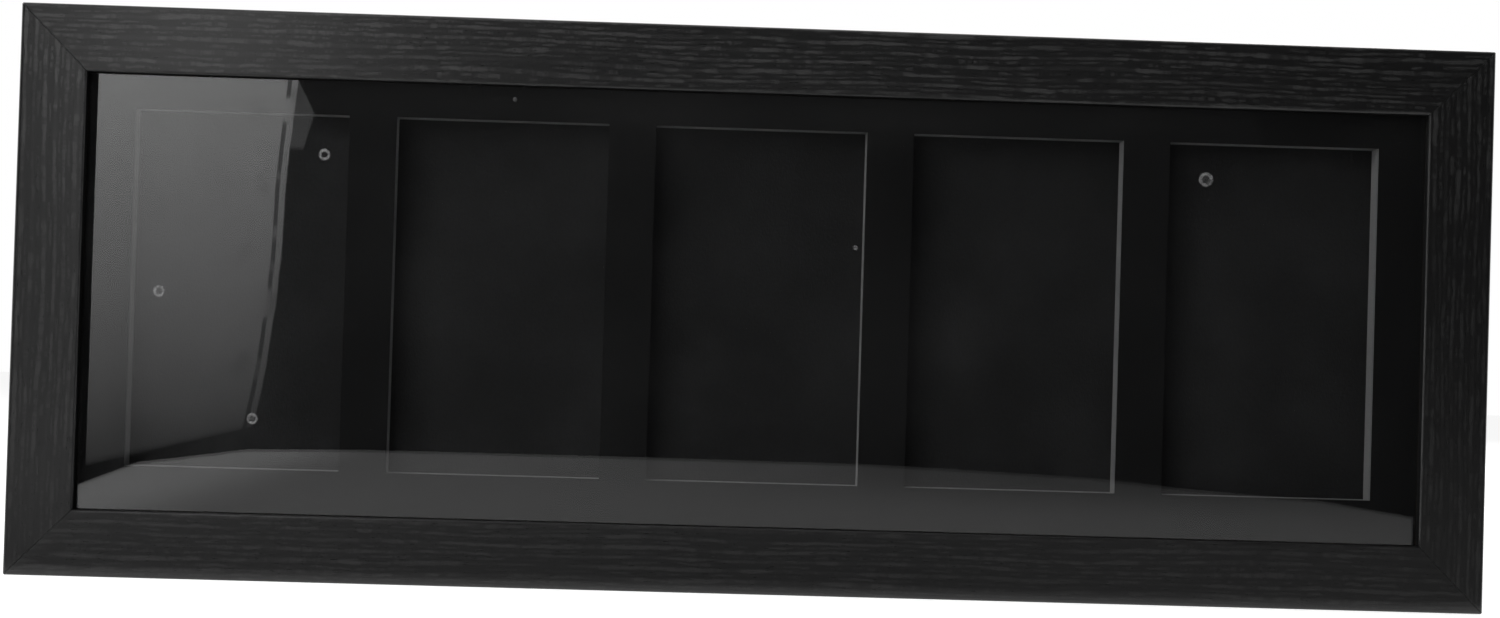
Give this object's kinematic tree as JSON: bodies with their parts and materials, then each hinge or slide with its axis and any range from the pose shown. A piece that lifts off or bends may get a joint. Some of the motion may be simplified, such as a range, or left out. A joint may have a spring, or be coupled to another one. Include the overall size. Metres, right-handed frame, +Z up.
{
  "type": "trading card display case",
  "caption": "Wide black framed display case with a clear pane over a pocket panel for graded cards, a lift-off back with turn buttons, and ring hangers.",
  "frame": {"origin": "middle of the bottom rail's underside, half way through the moulding's depth", "axes": "+X to the viewer's right along the case's width, +Y from the face to the back, +Z up; the window faces -Y"},
  "size_m": [0.566, 0.0272, 0.2174],
  "materials": {
    "moulding": "satin",
    "nail_steel": "satin",
    "clear_pane": "gloss",
    "mat_paper": "matte",
    "foam_core": "matte",
    "felt": "matte",
    "hardboard": "matte",
    "button_steel": "satin",
    "screw_steel": "satin",
    "strap_steel": "satin",
    "ring_steel": "polished",
    "bumper_rubber": "matte"
  },
  "bodies": {
    "case": {"top_rail": "moulding", "bottom_rail": "moulding", "left_stile": "moulding", "right_stile": "moulding", "corner_nails": "nail_steel", "front_pane": "clear_pane", "mat_sheet": "mat_paper", "pocket_core": "foam_core", "button_screws": "screw_steel", "hanger_strap_left": "strap_steel", "hanger_strap_right": "strap_steel", "hanger_screws": "screw_steel", "wall_bumper_left": "bumper_rubber", "wall_bumper_right": "bumper_rubber"},
    "back": {"backing_board": "hardboard", "pocket_liner": "felt"},
    "button_top_left": {"turn_button_top_left": "button_steel"},
    "button_top_right": {"turn_button_top_right": "button_steel"},
    "button_bottom_left": {"turn_button_bottom_left": "button_steel"},
    "button_bottom_right": {"turn_button_bottom_right": "button_steel"},
    "button_left": {"turn_button_left": "button_steel"},
    "button_right": {"turn_button_right": "button_steel"},
    "ring_left": {"hanger_ring_left": "ring_steel"},
    "ring_right": {"hanger_ring_right": "ring_steel"}
  },
  "joints": [
    {"name": "backing_board_lift", "type": "slide", "parent": "case", "child": "back", "axis": [0, 1, 0], "range_m": [0, 0.06]},
    {"name": "turn_button_top_left_pivot", "type": "hinge", "parent": "case", "child": "button_top_left", "pos_m": [-0.14925, 0.01195, 0.2079], "axis": [0, 1, 0], "range_deg": [-90, 0]},
    {"name": "turn_button_top_right_pivot", "type": "hinge", "parent": "case", "child": "button_top_right", "pos_m": [0.14925, 0.01195, 0.2079], "axis": [0, -1, 0], "range_deg": [-90, 0]},
    {"name": "turn_button_bottom_left_pivot", "type": "hinge", "parent": "case", "child": "button_bottom_left", "pos_m": [-0.14925, 0.01195, 0.0095], "axis": [0, -1, 0], "range_deg": [-90, 0]},
    {"name": "turn_button_bottom_right_pivot", "type": "hinge", "parent": "case", "child": "button_bottom_right", "pos_m": [0.14925, 0.01195, 0.0095], "axis": [0, 1, 0], "range_deg": [-90, 0]},
    {"name": "turn_button_left_pivot", "type": "hinge", "parent": "case", "child": "button_left", "pos_m": [-0.2735, 0.01195, 0.1087], "axis": [0, 1, 0], "range_deg": [-90, 0]},
    {"name": "turn_button_right_pivot", "type": "hinge", "parent": "case", "child": "button_right", "pos_m": [0.2735, 0.01195, 0.1087], "axis": [0, -1, 0], "range_deg": [-90, 0]},
    {"name": "hanger_ring_left_swing", "type": "hinge", "parent": "case", "child": "ring_left", "pos_m": [-0.2735, 0.01346, 0.1714], "axis": [1, 0, 0], "range_deg": [0, 177]},
    {"name": "hanger_ring_right_swing", "type": "hinge", "parent": "case", "child": "ring_right", "pos_m": [0.2735, 0.01346, 0.1714], "axis": [1, 0, 0], "range_deg": [0, 177]}
  ]
}
